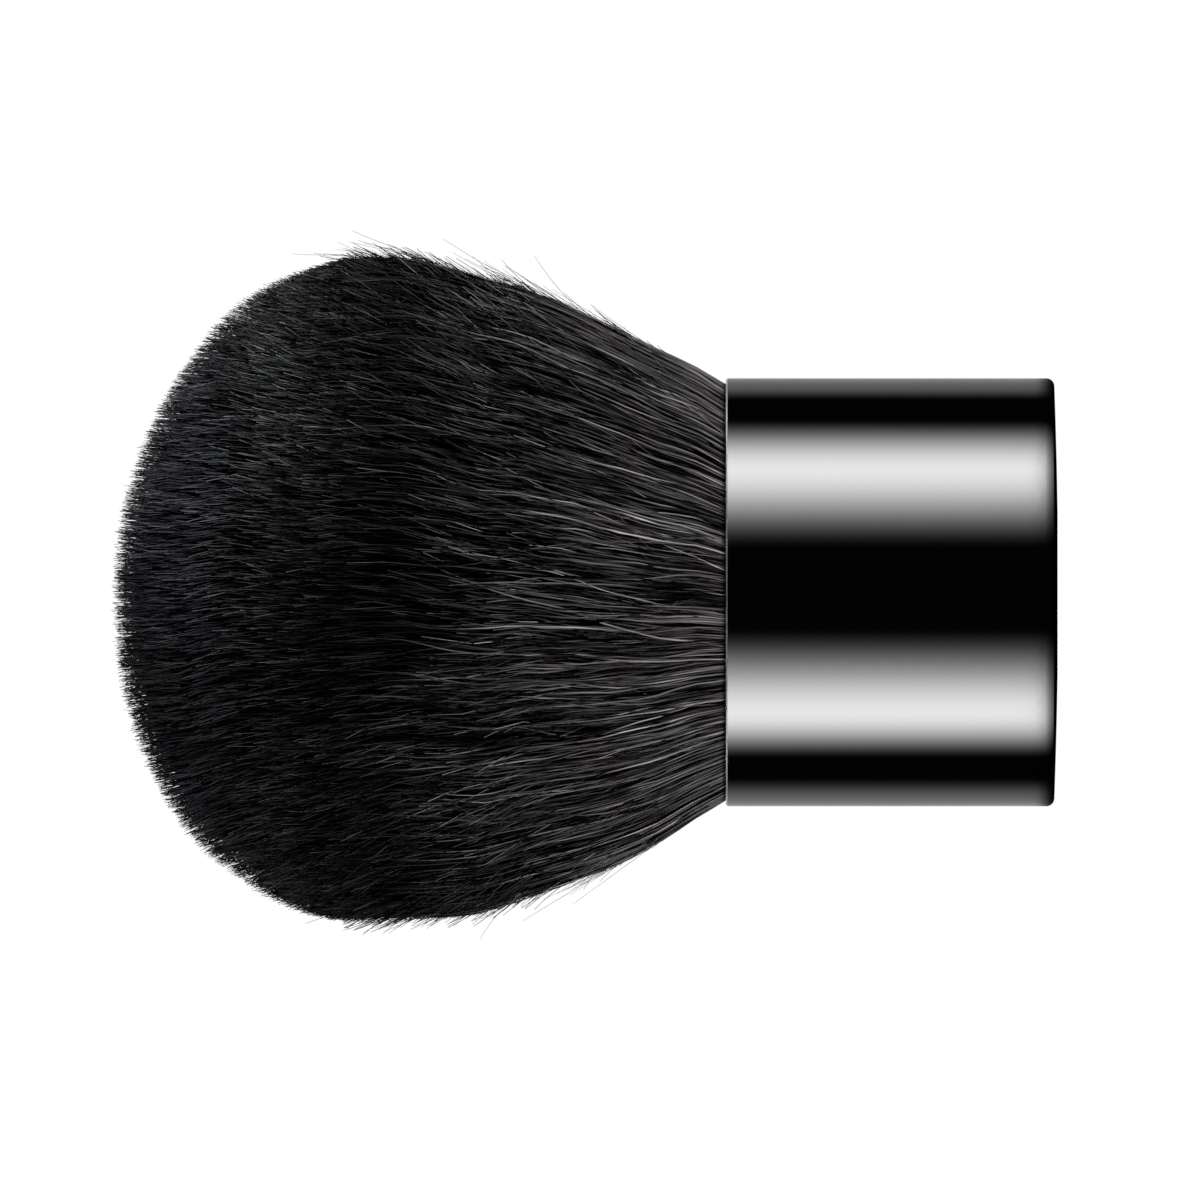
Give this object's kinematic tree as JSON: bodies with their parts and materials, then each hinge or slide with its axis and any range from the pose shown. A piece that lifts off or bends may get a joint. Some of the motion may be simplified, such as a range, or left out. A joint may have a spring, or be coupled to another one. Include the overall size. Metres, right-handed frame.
{
  "type": "kabuki makeup brush",
  "caption": "Short powder brush: a dense domed head of soft black hair held in a straight, flat-based gloss black metal ferrule that it stands on and is held by.",
  "frame": {"origin": "middle of the flat on the ferrule's base, on the brush's axis", "axes": "+Z along the brush's axis, from the base to the tips of the hair; X and Y are square to it and alike, because the brush is round"},
  "size_m": [0.0501, 0.0501, 0.0708],
  "materials": {
    "ferrule_can": "gloss",
    "base_glue": "satin",
    "weight_slug": "satin",
    "core_insert": "matte",
    "cup_bond": "satin",
    "tuft_cup": "satin",
    "root_block": "satin",
    "root_binding": "matte",
    "hair_tuft": "satin"
  },
  "bodies": {
    "root": {"ferrule_can": "ferrule_can", "base_glue": "base_glue", "weight_slug": "weight_slug", "core_insert": "core_insert", "cup_bond": "cup_bond", "tuft_cup": "tuft_cup", "root_block": "root_block", "root_binding": "root_binding", "hair_tuft": "hair_tuft"}
  },
  "joints": []
}
